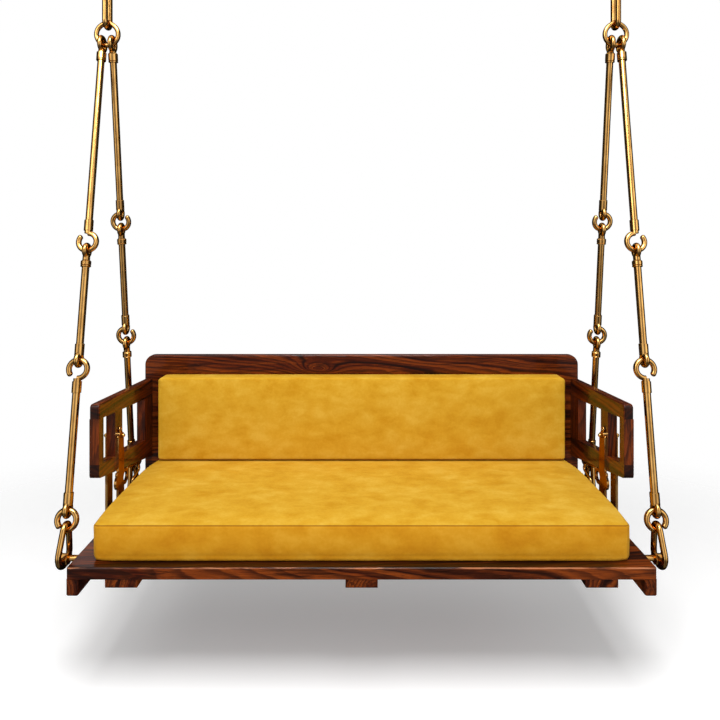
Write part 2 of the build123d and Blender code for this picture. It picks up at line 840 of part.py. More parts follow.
back_cushion_width = plank_width - 2 * back_cushion_inset
back_cushion_z = top_z + cushion_thickness + 2 * contact_gap
with BuildPart() as back_cushion:
    with BuildSketch(Plane.XZ.offset(contact_gap - panel_y)):
        with Locations((0, back_cushion_z + back_cushion_height / 2)):
            RectangleRounded(back_cushion_width, back_cushion_height, back_cushion_corner)
    extrude(amount=back_cushion_thickness)
    rims = back_cushion.faces().filter_by(Plane.XZ).edges()
    fillet(rims, cushion_edge)
save(back_cushion, "back_cushion")
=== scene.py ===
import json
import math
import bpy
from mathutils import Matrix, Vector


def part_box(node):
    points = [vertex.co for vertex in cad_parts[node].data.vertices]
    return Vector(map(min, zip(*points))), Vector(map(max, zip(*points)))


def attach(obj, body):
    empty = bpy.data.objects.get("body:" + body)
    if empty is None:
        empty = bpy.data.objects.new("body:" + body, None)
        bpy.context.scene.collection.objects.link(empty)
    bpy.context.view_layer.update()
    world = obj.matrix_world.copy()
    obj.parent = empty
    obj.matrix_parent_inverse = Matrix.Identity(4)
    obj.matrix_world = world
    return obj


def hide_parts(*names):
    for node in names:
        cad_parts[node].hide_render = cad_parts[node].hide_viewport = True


bl_info = {
    "name": "Hanging Swing Seat Looks",
    "version": (1, 0, 0),
    "blender": (4, 5, 0),
    "location": "3D View > Sidebar > Swing",
    "description": "Dresses a hanging swing seat in lacquered wood, antique brass and suede",
    "category": "Object",
}

import bmesh
import bpy
import numpy as np
from mathutils import Vector

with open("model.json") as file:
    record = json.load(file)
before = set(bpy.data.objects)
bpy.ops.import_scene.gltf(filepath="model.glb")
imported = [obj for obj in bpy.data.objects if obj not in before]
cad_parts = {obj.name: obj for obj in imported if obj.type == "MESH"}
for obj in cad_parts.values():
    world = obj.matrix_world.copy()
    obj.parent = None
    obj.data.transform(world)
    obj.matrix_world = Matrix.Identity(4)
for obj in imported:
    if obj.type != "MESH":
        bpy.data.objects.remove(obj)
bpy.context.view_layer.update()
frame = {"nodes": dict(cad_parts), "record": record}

SIDES = {"left": -1, "right": 1}
PLANK_LOW, PLANK_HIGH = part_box("seat_plank")
PLANK_TOP = PLANK_HIGH.z

# Gap kept between a cushion and what it rests on or lies under, in metres.
CLEARANCE = 0.0005
# A length that counts as nothing, in metres.
TINY = 1e-9


# ------------------------------------------------------------------ settings
class SwingFinishes(bpy.types.PropertyGroup):
    """Colours of the wood, the brass and the cloth"""

    # The dark streaks' colour is also what the plank top's painted shade darkens towards.
    wood_dark: bpy.props.FloatVectorProperty(
        name="Dark streaks",
        description="Near-black bands in the wood",
        subtype="COLOR",
        min=0,
        max=1,
        default=(0.0085, 0.0018, 0.0009),
    )
    wood_mid: bpy.props.FloatVectorProperty(
        name="Heartwood",
        description="Main red-brown of the wood",
        subtype="COLOR",
        min=0,
        max=1,
        default=(0.0880, 0.0120, 0.0016),
    )
    wood_light: bpy.props.FloatVectorProperty(
        name="Light streaks",
        description="Orange-brown bands in the wood",
        subtype="COLOR",
        min=0,
        max=1,
        default=(0.2600, 0.0520, 0.0050),
    )
    brass_bright: bpy.props.FloatVectorProperty(
        name="Brass",
        description="Rubbed brass",
        subtype="COLOR",
        min=0,
        max=1,
        default=(0.620, 0.345, 0.105),
    )
    brass_patina: bpy.props.FloatVectorProperty(
        name="Patina",
        description="Darkened brass",
        subtype="COLOR",
        min=0,
        max=1,
        default=(0.330, 0.155, 0.038),
    )
    suede_base: bpy.props.FloatVectorProperty(
        name="Suede",
        description="Main colour of the cushions",
        subtype="COLOR",
        min=0,
        max=1,
        default=(0.616, 0.338, 0.0220),
    )
    suede_lit: bpy.props.FloatVectorProperty(
        name="Raised nap",
        description="Where the nap is brushed up and looks paler",
        subtype="COLOR",
        min=0,
        max=1,
        default=(0.680, 0.410, 0.0480),
    )
    suede_shade: bpy.props.FloatVectorProperty(
        name="Flat nap",
        description="Where the nap is brushed flat and looks deeper",
        subtype="COLOR",
        min=0,
        max=1,
        default=(0.540, 0.262, 0.0090),
    )


class SwingCushions(bpy.types.PropertyGroup):
    """Sizes of the cushions' sewing and filling"""

    seam_radius: bpy.props.FloatProperty(
        name="Seam radius",
        description="Rounding where two panels of the cover are sewn together",
        default=0.005,
        unit="LENGTH",
    )
    roll_radius: bpy.props.FloatProperty(
        name="Roll radius",
        description="Rounding of the edges that the cover rolls over",
        default=0.014,
        unit="LENGTH",
    )
    corner_radius: bpy.props.FloatProperty(
        name="Corner radius",
        description="Rounding of the cushion's corners seen square on",
        default=0.014,
        unit="LENGTH",
    )
    crown: bpy.props.FloatProperty(
        name="Crown",
        description="How far the filling may push a panel out",
        default=0.007,
        unit="LENGTH",
    )
    front_lift: bpy.props.FloatProperty(
        name="Front lift",
        description="How much thicker the seat cushion is before the back cushion",
        default=0.004,
        unit="LENGTH",
    )
    side_bow: bpy.props.FloatProperty(
        name="Side bow",
        description="How far the seat cushion's ends bow out between its corners",
        default=0.010,
        unit="LENGTH",
    )
    seam_depth: bpy.props.FloatProperty(
        name="Seam depth",
        description="How deep a seam sinks into the cushion",
        default=0.0016,
        unit="LENGTH",
    )
    pucker: bpy.props.FloatProperty(
        name="Pucker",
        description="Height of the ripples beside a seam",
        default=0.0006,
        unit="LENGTH",
    )


class SwingStage(bpy.types.PropertyGroup):
    """Floor, light and camera"""

    floor_drop: bpy.props.FloatProperty(
        name="Floor drop",
        description="Top of the plank down to the floor",
        default=0.400,
        unit="LENGTH",
    )
    camera_distance: bpy.props.FloatProperty(
        name="Camera distance",
        description="Plank's front edge to the camera",
        default=1.550,
        unit="LENGTH",
    )
    camera_height: bpy.props.FloatProperty(
        name="Camera height",
        description="Top of the plank up to the camera",
        default=0.818,
        unit="LENGTH",
    )
    lens: bpy.props.FloatProperty(
        name="Lens",
        description="Focal length in millimetres",
        default=30.6,
    )
    key_power: bpy.props.FloatProperty(
        name="Key light",
        description="Power of the soft light before the left side",
        default=30.0,
        unit="POWER",
    )
    fill_power: bpy.props.FloatProperty(
        name="Fill light",
        description="Power of the soft light before the right side",
        default=10.0,
        unit="POWER",
    )
    top_power: bpy.props.FloatProperty(
        name="Top light",
        description="Power of the soft light above the front, which casts the shadow on the floor",
        default=150.0,
        unit="POWER",
    )
    sky_level: bpy.props.FloatProperty(
        name="Surrounding light",
        description="Strength of the light that surfaces get from all around",
        default=0.30,
    )
    panel_gap: bpy.props.FloatProperty(
        name="Gap level",
        description="Brightness of the gap between the soft panels that polished surfaces reflect",
        default=0.42,
    )
    panel_level: bpy.props.FloatProperty(
        name="Panel level",
        description="Brightness of the soft panels that polished surfaces reflect",
        default=1.4,
    )
    floor_lift: bpy.props.FloatProperty(
        name="Floor lift",
        description="Brightness added to the floor where it is seen directly",
        default=0.18,
    )
    floor_fade: bpy.props.FloatProperty(
        name="Floor fade",
        description="Distance from the middle at which the floor starts to fade into white",
        default=1.0,
        unit="LENGTH",
    )


# ------------------------------------------------------------------ node helpers
def add_node(tree, kind, inputs=None, **settings):
    """Add a shader node, set its options, and link or set its inputs."""
    made = tree.nodes.new("ShaderNode" + kind)
    for name, value in settings.items():
        setattr(made, name, value)
    for name, value in (inputs or {}).items():
        feed(tree, made.inputs[name], value)
    return made


def feed(tree, socket, value):
    """Link another node's output to a socket, or set its value."""
    if isinstance(value, bpy.types.NodeSocket):
        tree.links.new(value, socket)
    else:
        socket.default_value = value


def calc(tree, operation, *values, clamp=False):
    """Result of a Math node."""
    made = add_node(tree, "Math", dict(enumerate(values)), operation=operation)
    made.use_clamp = clamp
    return made.outputs[0]


def calc_vector(tree, operation, *values, scale=None):
    """Result of a Vector Math node: a number for a length or dot product, or else a vector."""
    made = add_node(tree, "VectorMath", dict(enumerate(values)), operation=operation)
    if scale is not None:
        feed(tree, made.inputs["Scale"], scale)
    return made.outputs["Value" if operation in ("LENGTH", "DOT_PRODUCT") else "Vector"]


def drawn_out(tree, vector, share):
    """A place squeezed along X, which draws a pattern out in that direction."""
    return calc_vector(tree, "MULTIPLY", vector, (share, 1, 1))


def part_of(tree, vector, axis):
    """One coordinate of a vector."""
    return add_node(tree, "SeparateXYZ", {"Vector": vector}).outputs[axis]


def cloud(tree, vector, scale, detail=3.0, roughness=0.5, distortion=0.0):
    """Noise from 0 to 1."""
    inputs = {
        "Vector": vector,
        "Scale": scale,
        "Detail": detail,
        "Roughness": roughness,
        "Distortion": distortion,
    }
    return add_node(tree, "TexNoise", inputs).outputs["Fac"]


def spread(tree, value, low, high, to_low=0.0, to_high=1.0):
    """Stretch a value from one range to another, smoothly, and hold it at the ends."""
    inputs = {
        "Value": value,
        "From Min": low,
        "From Max": high,
        "To Min": to_low,
        "To Max": to_high,
    }
    made = add_node(tree, "MapRange", inputs, interpolation_type="SMOOTHSTEP")
    return made.outputs["Result"]


def seen_directly(tree):
    """1 where the camera sees a thing itself, and 0 where its light falls on others."""
    path = add_node(tree, "LightPath").outputs
    return calc(tree, "MAXIMUM", path["Is Camera Ray"], path["Is Transmission Ray"])


# The Mix node's sockets for colours, whose names its other sockets share.
MIX_FIRST = 6
MIX_SECOND = 7
MIX_RESULT = 2


def blend_colours(tree, share, first, second, mode="MIX"):
    """Mix two colours."""
    made = add_node(tree, "Mix", data_type="RGBA", blend_type=mode)
    feed(tree, made.inputs["Factor"], share)
    feed(tree, made.inputs[MIX_FIRST], first)
    feed(tree, made.inputs[MIX_SECOND], second)
    return made.outputs[MIX_RESULT]


def new_group(name, inputs, outputs):
    """Make a shader node group; returns its tree, its inputs and its outputs."""
    tree = bpy.data.node_groups.new(name, "ShaderNodeTree")
    for title, kind, value in inputs:
        socket_type = "NodeSocket" + kind
        socket = tree.interface.new_socket(title, in_out="INPUT", socket_type=socket_type)
        socket.default_value = value
    for title, kind in outputs:
        tree.interface.new_socket(title, in_out="OUTPUT", socket_type="NodeSocket" + kind)
    entry = tree.nodes.new("NodeGroupInput")
    leave = tree.nodes.new("NodeGroupOutput")
    return tree, entry.outputs, leave.inputs


def opaque(colour):
    """A colour with full alpha."""
    return (*colour, 1.0)


# ------------------------------------------------------------------ finishes
FINISH_OUTPUTS = [("Color", "Color"), ("Roughness", "Float"), ("Height", "Float")]
# Pale orange painted highlight along the plank's front edge.
PAINTED_RIM_HIGHLIGHT = (0.50, 0.19, 0.08, 1.0)
# Dark painted shade in the cushions' sunk seams and in the crease at the back cushion's foot.
SEAM_SHADE = (0.150, 0.045, 0.004, 1.0)
# Tint that darkens the seat cushion's front panel: painted shade.
PAINTED_FRONT_SHADE = (0.93, 0.76, 0.45, 1.0)
SHEEN_TINT = (1.0, 0.70, 0.25, 1.0)
# Dark tint of the brass at grazing angles: painted shade on its edges, standing in for dark
# reflections.
BRASS_PAINTED_EDGE_SHADE = (0.15, 0.08, 0.03, 1.0)

# How far a finish's height stands out, in metres.
PORE_DEPTH = 0.0002
NAP_DEPTH = 0.0006

# How squarely a face turns to the direction that counts, from no effect to full effect.
END_FACING = (0.6, 0.9)
TOP_FACING = (0.6, 0.9)
FRONT_FACING = (-0.5, -0.85)
# The plank's painted edge highlight lies between these: neither upright nor flat, and to the
# front.
EDGE_FROM_SIDE = (0.25, 0.45)
EDGE_TO_TOP = (0.93, 0.80)
EDGE_TO_FRONT = (-0.2, -0.5)

# Distance from the plank's middle over which its top's painted shade fades, and the share left.
SHADE_ENDS = (0.70, 0.62)
SHADE_LEFT = 0.15

# How much of its length across the grain each pattern of the wood keeps along the grain.
DRIFT_STRETCH = 0.16
STREAK_STRETCH = 0.05
PORE_STRETCH = 0.045
FIBRE_STRETCH = 0.03
# How far the rings wander, in metres, and how far a ripple shifts them, in rings.
WANDER = 0.11
RING_RIPPLE = 1.1
# How fast a knot's push falls off, along the grain and across it.
KNOT_SQUEEZE = (16, 42, 42)
KNOT_FALL = -1.1
# Changes of tone for each ring, and what patches of the wood add to dark and take from light.
BAND_PACE = 0.31
PATCH_DARK = 0.45
PATCH_LIGHT = 0.35
# How much of its full strength each mark on the wood has.
LIGHT_STREAKS = 0.55
DARK_STREAKS = 0.72
LATE_WOOD = 0.62
DARK_BANDS = 0.92
PORES = 0.55
END_GRAIN = 0.85
PORE_RELIEF = -0.7
FIBRE_RELIEF = 0.35

# How much each pattern counts in the way the suede's nap lies.
PATCH_LIE = 0.45
STROKE_LIE = 0.55
MOTTLE_LIE = 0.22
NAP_LIE = 0.10
STROKE_STRETCH = 0.55
MOTTLE_RELIEF = 0.5


def rosewood_group(finishes):
    """Grain of dark hardwood along the group's X, from growth rings round a distant pith."""
    tree, given, result = new_group(
        "Rosewood Grain",
        [
            ("Vector", "Vector", (0, 0, 0)),
            ("End Grain", "Float", 0.0),
            ("Ring Pitch", "Float", 0.011),
            ("Figure", "Float", 1.0),
            ("Taper", "Float", 9.0),
            ("Knot", "Vector", (9, 9, 9)),
            ("Knot Rise", "Float", 0.0),
            ("Light Share", "Float", 0.5),
            ("Shade", "Float", 0.0),
            ("Worn Edge", "Float", 0.0),
        ],
        FINISH_OUTPUTS,
    )
    place = given["Vector"]
    slow = drawn_out(tree, place, DRIFT_STRETCH)
    drift = add_node(tree, "TexNoise", {"Vector": slow, "Scale": 5.5, "Detail": 2.5})
    centred = calc_vector(tree, "SUBTRACT", drift.outputs["Color"], (0.5, 0.5, 0.5))
    sway = calc_vector(tree, "MULTIPLY", centred, (0, WANDER, WANDER))
    sway = calc_vector(tree, "SCALE", sway, scale=given["Figure"])
    warped = calc_vector(tree, "ADD", place, sway)

    # A knot pushes the rings outwards, which fades with distance, slower along the grain.
    knot_offset = calc_vector(tree, "SUBTRACT", warped, given["Knot"])
    knot_offset = calc_vector(tree, "MULTIPLY", knot_offset, KNOT_SQUEEZE)
    knot_distance = calc_vector(tree, "LENGTH", knot_offset)
    knot_fall = calc(tree, "EXPONENT", calc(tree, "MULTIPLY", knot_distance, KNOT_FALL))
    knot = calc(tree, "MULTIPLY", knot_fall, given["Knot Rise"])

    # Growth rings, counted out from the pith, with a taper along the trunk.
    radius = calc_vector(tree, "LENGTH", calc_vector(tree, "MULTIPLY", warped, (0, 1, 1)))
    rings = calc(tree, "DIVIDE", radius, given["Ring Pitch"])
    rings = calc(tree, "MULTIPLY_ADD", part_of(tree, place, "X"), given["Taper"], rings)
    rings = calc(tree, "ADD", rings, knot)
    ripple = cloud(tree, slow, scale=34.0, roughness=0.6)
    rings = calc(tree, "MULTIPLY_ADD", ripple, RING_RIPPLE, rings)
    phase = calc(tree, "FRACT", rings)
    late_wood = spread(tree, phase, 0.25, 0.86)
    late_wood = calc(tree, "MULTIPLY", late_wood, spread(tree, phase, 1.0, 0.9))

    # Some rings are dark all through, and others light.
    ring_inputs = {
        "W": calc(tree, "MULTIPLY", rings, BAND_PACE),
        "Scale": 1.0,
        "Detail": 3.0,
        "Roughness": 0.65,
    }
    band = add_node(tree, "TexNoise", ring_inputs, noise_dimensions="1D").outputs["Fac"]
    patch = cloud(tree, slow, scale=9.0, roughness=0.55)
    dark_band = spread(tree, calc(tree, "MULTIPLY_ADD", patch, PATCH_DARK, band), 0.73, 0.92)
    light_band = calc(tree, "SUBTRACT", band, calc(tree, "MULTIPLY", patch, PATCH_LIGHT))
    light_band = spread(tree, light_band, 0.42, 0.24)
    light_band = calc(tree, "MULTIPLY", light_band, given["Light Share"])

    # Streaks, fibres and pores run along the grain, each finer than the one before.
    streak = drawn_out(tree, warped, STREAK_STRETCH)
    streak = cloud(tree, streak, scale=95.0, detail=4.0, roughness=0.62)
    dark_streak = spread(tree, streak, 0.53, 0.66)
    light_streak = calc(tree, "MULTIPLY", spread(tree, streak, 0.47, 0.34), LIGHT_STREAKS)
    fibre = drawn_out(tree, warped, FIBRE_STRETCH)
    fibre = cloud(tree, fibre, scale=420.0, detail=2.0, roughness=0.6)
    pores = drawn_out(tree, warped, PORE_STRETCH)
    pores = spread(tree, cloud(tree, pores, scale=900.0, detail=1.0), 0.60, 0.72)

    dark = opaque(finishes.wood_dark)
    light = calc(tree, "MAXIMUM", light_band, light_streak)
    colour = blend_colours(tree, light, opaque(finishes.wood_mid), opaque(finishes.wood_light))
    darker = ((dark_streak, DARK_STREAKS), (late_wood, LATE_WOOD), (dark_band, DARK_BANDS))
    for mask, share in darker:
        colour = blend_colours(tree, calc(tree, "MULTIPLY", mask, share), colour, dark)
    tone = spread(tree, fibre, 0.3, 0.7, 0.72, 1.22)
    grey = add_node(tree, "CombineColor", {"Red": tone, "Green": tone, "Blue": tone}).outputs[0]
    colour = blend_colours(tree, 1.0, colour, grey, "MULTIPLY")
    for mask, share in ((pores, PORES), (given["End Grain"], END_GRAIN)):
        colour = blend_colours(tree, calc(tree, "MULTIPLY", mask, share), colour, dark)
    # Painted shade darkens a shaded top towards the dark streaks' colour.
    colour = blend_colours(tree, given["Shade"], colour, dark)
    # A painted highlight, broken by the streaks, pales the plank's front edge.
    rim_highlight = calc(tree, "MULTIPLY", given["Worn Edge"], spread(tree, streak, 0.60, 0.44))
    colour = blend_colours(tree, rim_highlight, colour, PAINTED_RIM_HIGHLIGHT)

    feed(tree, result["Color"], colour)
    feed(tree, result["Roughness"], spread(tree, fibre, 0.2, 0.8, 0.34, 0.52))
    relief = calc(tree, "MULTIPLY", fibre, FIBRE_RELIEF)
    feed(tree, result["Height"], calc(tree, "MULTIPLY_ADD", pores, PORE_RELIEF, relief))
    return tree


def brass_group(finishes):
    """Old brass: clouds of patina and uneven polish."""
    tree, given, result = new_group(
        "Antique Brass",
        [("Vector", "Vector", (0, 0, 0)), ("Patina", "Float", 0.5)],
        [("Color", "Color"), ("Roughness", "Float")],
    )
    place = given["Vector"]
    clouds = spread(tree, cloud(tree, place, scale=24.0, detail=2.0), 0.35, 0.68)
    smudge = cloud(tree, place, scale=60.0, detail=1.0)
    stain = calc(tree, "MULTIPLY", clouds, given["Patina"], clamp=True)
    patina = opaque(finishes.brass_patina)
    colour = blend_colours(tree, stain, opaque(finishes.brass_bright), patina)
    feed(tree, result["Color"], colour)
    roughness = calc(tree, "MULTIPLY_ADD", clouds, 0.08, 0.10)
    feed(tree, result["Roughness"], calc(tree, "MULTIPLY_ADD", smudge, 0.08, roughness))
    return tree


def suede_group(finishes):
    """Brushed suede: soft patches where the nap lies up or flat, short strokes and a fine nap."""
    tree, given, result = new_group(
        "Brushed Suede",
        [
            ("Vector", "Vector", (0, 0, 0)),
            ("Seam", "Float", 0.0),
            ("Deepen", "Float", 0.0),
        ],
        FINISH_OUTPUTS,
    )
    place = given["Vector"]
    patches = cloud(tree, place, scale=10.0, distortion=0.2)
    strokes = drawn_out(tree, place, STROKE_STRETCH)
    strokes = cloud(tree, strokes, scale=30.0, roughness=0.55, distortion=0.3)
    mottle = cloud(tree, place, scale=130.0, roughness=0.6)
    nap = cloud(tree, place, scale=1500.0, detail=2.0, roughness=0.7)
    lie = calc(tree, "MULTIPLY", patches, PATCH_LIE)
    lie = calc(tree, "MULTIPLY_ADD", strokes, STROKE_LIE, lie)
    for noise, share in ((mottle, MOTTLE_LIE), (nap, NAP_LIE)):
        lie = calc(tree, "MULTIPLY_ADD", calc(tree, "SUBTRACT", noise, 0.5), share, lie)
    up = spread(tree, lie, 0.47, 0.70)
    down = spread(tree, lie, 0.53, 0.30)
    colour = blend_colours(tree, up, opaque(finishes.suede_base), opaque(finishes.suede_lit))
    colour = blend_colours(tree, down, colour, opaque(finishes.suede_shade))
    # Painted shade deepens the colour of a front panel.
    colour = blend_colours(tree, given["Deepen"], colour, PAINTED_FRONT_SHADE, "MULTIPLY")
    # Painted shade along the seams, as strong as the mark on each.
    seam = spread(tree, given["Seam"], 0.2, 1.0, 0.0, 0.75)
    colour = blend_colours(tree, seam, colour, SEAM_SHADE)
    feed(tree, result["Color"], colour)
    feed(tree, result["Roughness"], spread(tree, lie, 0.3, 0.7, 0.86, 0.95))
    feed(tree, result["Height"], calc(tree, "MULTIPLY_ADD", mottle, MOTTLE_RELIEF, nap))
    return tree


GROUP_MAKERS = {
    "Rosewood Grain": rosewood_group,
    "Antique Brass": brass_group,
    "Brushed Suede": suede_group,
}


def place_group(tree, name, inputs):
    """Put a shared group into a material, making the group the first time."""
    group = bpy.data.node_groups.get(name)
    if group is None:
        group = GROUP_MAKERS[name](bpy.context.scene.swing_finishes)
    made = add_node(tree, "Group", node_tree=group)
    for title, value in inputs.items():
        feed(tree, made.inputs[title], value)
    return made.outputs


def new_material(name):
    """A material with a bare Principled shader; returns it, its tree and the shader's inputs."""
    made = bpy.data.materials.new(name)
    made.use_nodes = True
    shader = made.node_tree.nodes["Principled BSDF"]
    return made, made.node_tree, shader.inputs


def wire_finish(tree, shader, finish, depth):
    """Feed a finish's colour, roughness and height to a shader."""
    feed(tree, shader["Base Color"], finish["Color"])
    feed(tree, shader["Roughness"], finish["Roughness"])
    relief = {"Height": finish["Height"], "Distance": depth, "Strength": 1.0}
    bump = add_node(tree, "Bump", relief)
    feed(tree, shader["Normal"], bump.outputs["Normal"])


def wood_material(
    name, grain, pith, figure=1.0, light=0.5, knot=None, rise=0.0, painted_top_shade_and_rim=0.0, end_shade=1.0
):
    """Lacquered wood whose grain runs along a direction, cut at a place beside the pith.

    A top with painted shade is darker in its middle, with a painted highlight along its front
    edge.
    """
    made, tree, shader = new_material(name)
    given = add_node(tree, "TexCoord").outputs
    turn = Vector(grain).rotation_difference(Vector((1, 0, 0))).to_euler()
    mapping = {"Vector": given["Object"], "Rotation": turn, "Location": pith}
    along = calc_vector(tree, "DOT_PRODUCT", given["Normal"], tuple(grain))
    end_grain = spread(tree, calc(tree, "ABSOLUTE", along), *END_FACING)

    # Painted shade on the top, less at the plank's ends, and a painted highlight on its front
    # edge.
    upward = part_of(tree, given["Normal"], "Z")
    forward = part_of(tree, given["Normal"], "Y")
    edge = spread(tree, upward, *EDGE_FROM_SIDE)
    edge = calc(tree, "MULTIPLY", edge, spread(tree, upward, *EDGE_TO_TOP))
    edge = calc(tree, "MULTIPLY", edge, spread(tree, forward, *EDGE_TO_FRONT))
    aside = calc(tree, "ABSOLUTE", part_of(tree, given["Object"], "X"))
    middle = spread(tree, aside, *SHADE_ENDS, SHADE_LEFT, 1.0)
    shade = calc(tree, "MULTIPLY", spread(tree, upward, *TOP_FACING), painted_top_shade_and_rim)

    inputs = {
        "Vector": add_node(tree, "Mapping", mapping).outputs["Vector"],
        "End Grain": calc(tree, "MULTIPLY", end_grain, end_shade),
        "Shade": calc(tree, "MULTIPLY", shade, middle),
        "Worn Edge": calc(tree, "MULTIPLY", edge, painted_top_shade_and_rim),
        "Figure": figure,
        "Light Share": light,
    }
    if knot is not None:
        spot = Vector(knot)
        spot.rotate(turn)
        inputs["Knot"] = tuple(spot + Vector(pith))
        inputs["Knot Rise"] = rise
    finish = place_group(tree, "Rosewood Grain", inputs)
    wire_finish(tree, shader, finish, PORE_DEPTH)
    shader["Coat Weight"].default_value = 0.9
    shader["Coat IOR"].default_value = 1.24
    shader["Coat Roughness"].default_value = 0.10
    shader["Specular IOR Level"].default_value = 0.05
    return made


def brass_material(name, patina):
    """Brass with a share of patina."""
    made, tree, shader = new_material(name)
    place = add_node(tree, "TexCoord").outputs["Object"]
    finish = place_group(tree, "Antique Brass", {"Vector": place, "Patina": patina})
    feed(tree, shader["Base Color"], finish["Color"])
    feed(tree, shader["Roughness"], finish["Roughness"])
    shader["Metallic"].default_value = 1.0
    # A dark edge tint: painted shade on the brass at grazing angles.
    shader["Specular Tint"].default_value = BRASS_PAINTED_EDGE_SHADE
    return made


def suede_material(name, offset, front_painted_shade=0.0):
    """Mustard suede, with painted shade that deepens the colour of an upright front panel."""
    made, tree, shader = new_material(name)
    given = add_node(tree, "TexCoord").outputs
    mapping = {"Vector": given["Object"], "Location": offset}
    frontal = spread(tree, part_of(tree, given["Normal"], "Y"), *FRONT_FACING)
    inputs = {
        "Vector": add_node(tree, "Mapping", mapping).outputs["Vector"],
        "Seam": add_node(tree, "Attribute", attribute_name="seam").outputs["Fac"],
        "Deepen": calc(tree, "MULTIPLY", frontal, front_painted_shade),
    }
    finish = place_group(tree, "Brushed Suede", inputs)
    wire_finish(tree, shader, finish, NAP_DEPTH)
    shader["Sheen Weight"].default_value = 0.10
    shader["Sheen Roughness"].default_value = 0.45
    shader["Sheen Tint"].default_value = SHEEN_TINT
    shader["Specular IOR Level"].default_value = 0.10
    return made


def dress(node, material):
    """Give a CAD node a finish."""
    slots = frame["nodes"][node].data.materials
    slots.clear()
    slots.append(material)


# ------------------------------------------------------------------ mesh helpers
def deselect():
    """Leave nothing selected, in object mode."""
    if bpy.context.mode != "OBJECT":
        bpy.ops.object.mode_set(mode="OBJECT")
    bpy.ops.object.select_all(action="DESELECT")


def activate(piece):
    """Select one piece alone."""
    deselect()
    piece.select_set(True)
    bpy.context.view_layer.objects.active = piece


def finish_piece(piece, body, material):
    """Settle a new piece: place in its mesh, smooth shading, finish, slot and body."""
    activate(piece)
    bpy.ops.object.transform_apply(location=True, rotation=True, scale=True)
    bpy.ops.object.shade_smooth()
    piece.data.materials.clear()
    piece.data.materials.append(material)
    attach(piece, body)
    deselect()


def vertex_vectors(piece, kind):
    """One vector of each vertex, such as its place or its normal, as an array."""
    found = np.empty(len(piece.data.vertices) * 3)
    piece.data.vertices.foreach_get(kind, found)
    return found.reshape(-1, 3)


def coordinates(piece):
    """A mesh's vertices as an array."""
    return vertex_vectors(piece, "co")


def set_coordinates(piece, points):
    """Move a mesh's vertices."""
    piece.data.vertices.foreach_set("co", np.ascontiguousarray(points, float).ravel())
    piece.data.update()


# ------------------------------------------------------------------ cushions
# Grid lines round an edge, and the places of those beside it, in metres.
EDGE_STEPS = 3
NEAR_STEPS = (0.004, 0.010, 0.018, 0.029)
# Size of the even cells between, and the smallest share of it that may be left over.
CELL = 0.014
LEAST_CELL = 0.8
# Length of the first cube's edges, and a length that only its uncut edges pass.
CUBE = 2
UNCUT = 1.5

# Strength of a seam that shows only as a faint line.
FAINT_SEAM = 0.3
# Share of the roll's rounding that is left between a cushion's ends.
ROLL_BETWEEN = 0.3

# Air pressure in the cover, and how many frames the filling takes.
FILL_PRESSURE = 3.0
FILL_FRAMES = 16

# Distances from a seam over which its ripples start and die out, in metres, and their waves
# in radians for each metre along all axes at once.
RIPPLE_START = 0.003
RIPPLE_END = 0.016
SHORT_WAVE = 210
MIDDLE_WAVE = 131
LONG_WAVE = 67
UPWARD_WAVE = 40
# Points whose distance to the seams is found at one time.
BLOCK = 2000

# Shape of the seat cushion: lengths in metres before the back cushion, and shares.
BOW_DEPTH = 0.3  # share of the depth over which the ends bow out
TUCK_LENGTH = 0.12  # the ends draw in over this length
TUCK_START = 0.10  # which starts this far before the back cushion
TUCK_SHARE = 1.5  # and takes away this much of the bow
LIFT_LENGTH = 0.12  # the front's extra thickness ends over this length
PRESS_LENGTH = 0.05  # the back cushion presses the top down from here
HEADROOM = 0.02  # how far the top may rise where nothing lies on it


def stations(half, radius, spacing):
    """Places of the grid lines along one axis: fine round the edges and even between."""
    inner = half - radius
    turns = [math.radians(45 * k / EDGE_STEPS) for k in range(EDGE_STEPS + 1)]
    arc = [inner + radius * math.tan(turn) for turn in turns]
    near = [inner - step for step in NEAR_STEPS if inner - step > spacing * LEAST_CELL]
    rest = near[-1] if near else inner
    count = max(2, round(2 * rest / spacing))
    even = list(np.linspace(-rest, rest, count + 1))[1:-1]
    right = sorted(near) + arc
    return [-x for x in reversed(right)] + even + right


def gridded_box(name, lines):
    """A box whose faces carry as many cells along each axis as its grid lines ask for."""
    deselect()
    bpy.ops.mesh.primitive_cube_add(size=CUBE)
    piece = bpy.context.object
    piece.name = name
    piece.data.name = name
    bpy.ops.object.mode_set(mode="EDIT")
    bpy.ops.mesh.select_mode(type="EDGE")
    for axis, places in enumerate(lines):
        mesh = bmesh.from_edit_mesh(piece.data)
        for edge in mesh.edges:
            way = edge.verts[1].co - edge.verts[0].co
            edge.select = abs(way[axis]) > UNCUT
        bmesh.update_edit_mesh(piece.data)
        bpy.ops.mesh.subdivide(number_cuts=len(places) - 2)
    bpy.ops.object.mode_set(mode="OBJECT")
    return piece


def edge_radii(points, half, thin, rolled, sizes):
    """Rounding at each point: small at the sewn side and large at the rolled side."""
    share = np.clip(0.5 + rolled * points[:, thin] / half[thin], 0, 1)
    share = share**2 * (3 - 2 * share)
    at_end = np.clip((np.abs(points[:, 0]) - half[0]) / (3 * sizes.roll_radius) + 1, 0, 1)
    roll = sizes.roll_radius * (ROLL_BETWEEN + (1 - ROLL_BETWEEN) * at_end)
    return (sizes.seam_radius + (roll - sizes.seam_radius) * share)[:, None]


